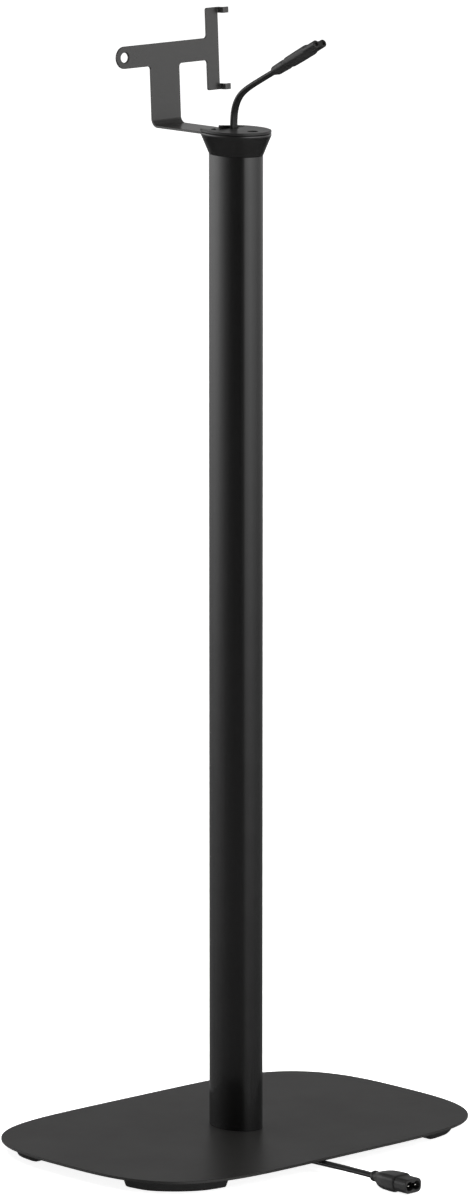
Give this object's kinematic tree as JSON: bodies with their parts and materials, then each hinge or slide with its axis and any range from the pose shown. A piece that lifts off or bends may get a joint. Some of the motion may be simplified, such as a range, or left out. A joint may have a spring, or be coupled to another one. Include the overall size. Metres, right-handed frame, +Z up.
{
  "type": "speaker stand",
  "caption": "Floor stand for a compact loudspeaker: flat rounded base on corner feet, tall oval column, flared collar, folded rear bracket with hooks and a built-in mains lead.",
  "frame": {"origin": "on the floor, on the vertical axis of the column, which is the middle of the base", "axes": "+Z up along the column, +X along the long side of the base towards the hooks, +Y towards the rear bracket"},
  "size_m": [0.4266, 0.4033, 1.0309],
  "materials": {
    "coated_steel": "fine satin black powder coat on sheet steel",
    "column_finish": "satin black anodised extrusion",
    "collar_plastic": "satin black moulded plastic",
    "foot_rubber": "matt black moulded rubber",
    "clip_plastic": "black moulded nylon",
    "zinc_steel": "zinc-plated steel",
    "black_screw": "black passivated steel screw",
    "plated_contact": "nickel-plated brass",
    "lead_pvc": "black flexible PVC"
  },
  "bodies": {
    "root": {"base_plate": "coated_steel", "base_stiffener": "coated_steel", "base_washer_front": "zinc_steel", "base_bolt_front": "zinc_steel", "base_washer_rear": "zinc_steel", "base_bolt_rear": "zinc_steel", "base_washer_left": "zinc_steel", "base_bolt_left": "zinc_steel", "base_washer_right": "zinc_steel", "base_bolt_right": "zinc_steel", "foot_front_left": "foot_rubber", "foot_rear_left": "foot_rubber", "foot_front_right": "foot_rubber", "foot_rear_right": "foot_rubber", "column_extrusion": "column_finish", "collar": "collar_plastic", "collar_cap": "collar_plastic", "cable_clamp": "collar_plastic", "collar_screw_front": "zinc_steel", "collar_screw_rear": "zinc_steel", "bracket_screw": "black_screw", "speaker_bracket": "coated_steel", "mains_lead_inner": "lead_pvc", "mains_lead_top": "lead_pvc", "mains_lead_bottom": "lead_pvc", "cable_clip_inner": "clip_plastic", "cable_clip_outer": "clip_plastic", "connector_top_body": "lead_pvc", "inlet_bottom_body": "lead_pvc", "connector_top_contact_1": "plated_contact", "connector_top_contact_2": "plated_contact", "inlet_bottom_pin_1": "plated_contact", "inlet_bottom_pin_2": "plated_contact"}
  },
  "joints": []
}
